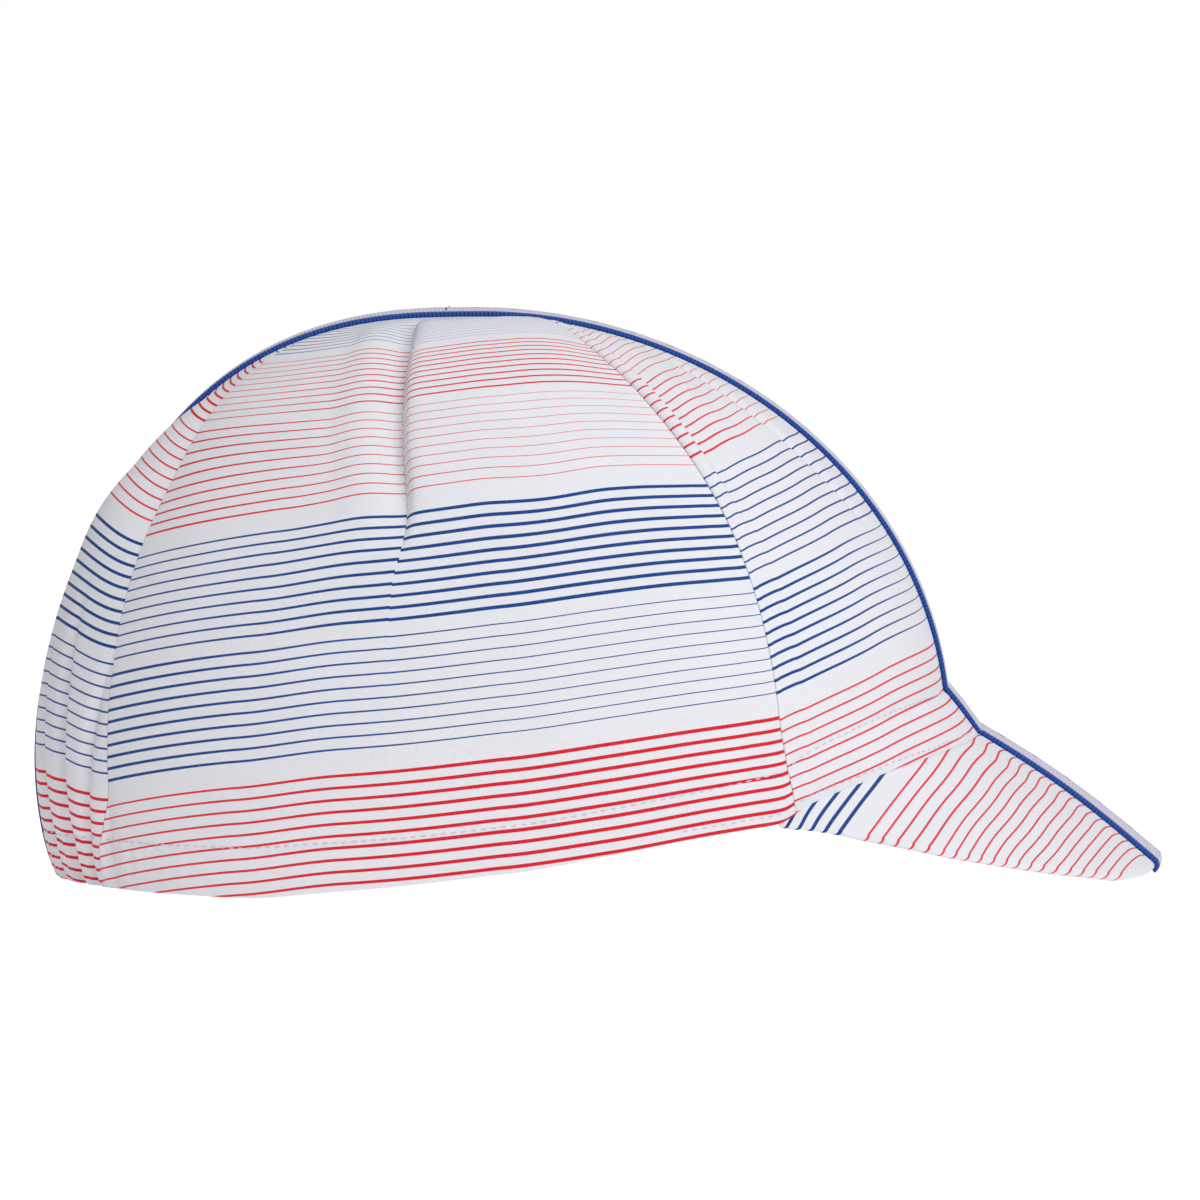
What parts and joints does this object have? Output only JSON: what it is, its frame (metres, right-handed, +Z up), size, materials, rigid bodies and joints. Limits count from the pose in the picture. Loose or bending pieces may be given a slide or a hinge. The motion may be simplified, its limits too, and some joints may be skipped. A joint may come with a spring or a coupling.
{
  "type": "cycling cap",
  "caption": "Soft cloth cycling cap with a domed crown of sewn panels, a woven tape over the middle, a gathered back and a short turned down peak",
  "frame": {"origin": "on the floor, under the middle of the length from the back of the crown to the tip of the peak", "axes": "+X forward, towards the tip of the peak; +Y to the wearer's left; +Z up, out of the crown's open side"},
  "size_m": [0.2568, 0.1652, 0.1279],
  "materials": {
    "crown_cloth": "matt, smooth, striped in fine red and blue lines",
    "peak_cloth": "matt, smooth, striped in fine red and blue lines",
    "tape": "matt, ribbed weave, blue with a pale middle"
  },
  "bodies": {
    "root": {"side_panel_right": "crown_cloth", "side_panel_left": "crown_cloth", "front_panel_right": "crown_cloth", "front_panel_left": "crown_cloth", "rear_panel_right": "crown_cloth", "rear_panel_left": "crown_cloth", "crown_tape": "tape", "peak": "peak_cloth", "peak_tape": "tape"}
  },
  "joints": []
}
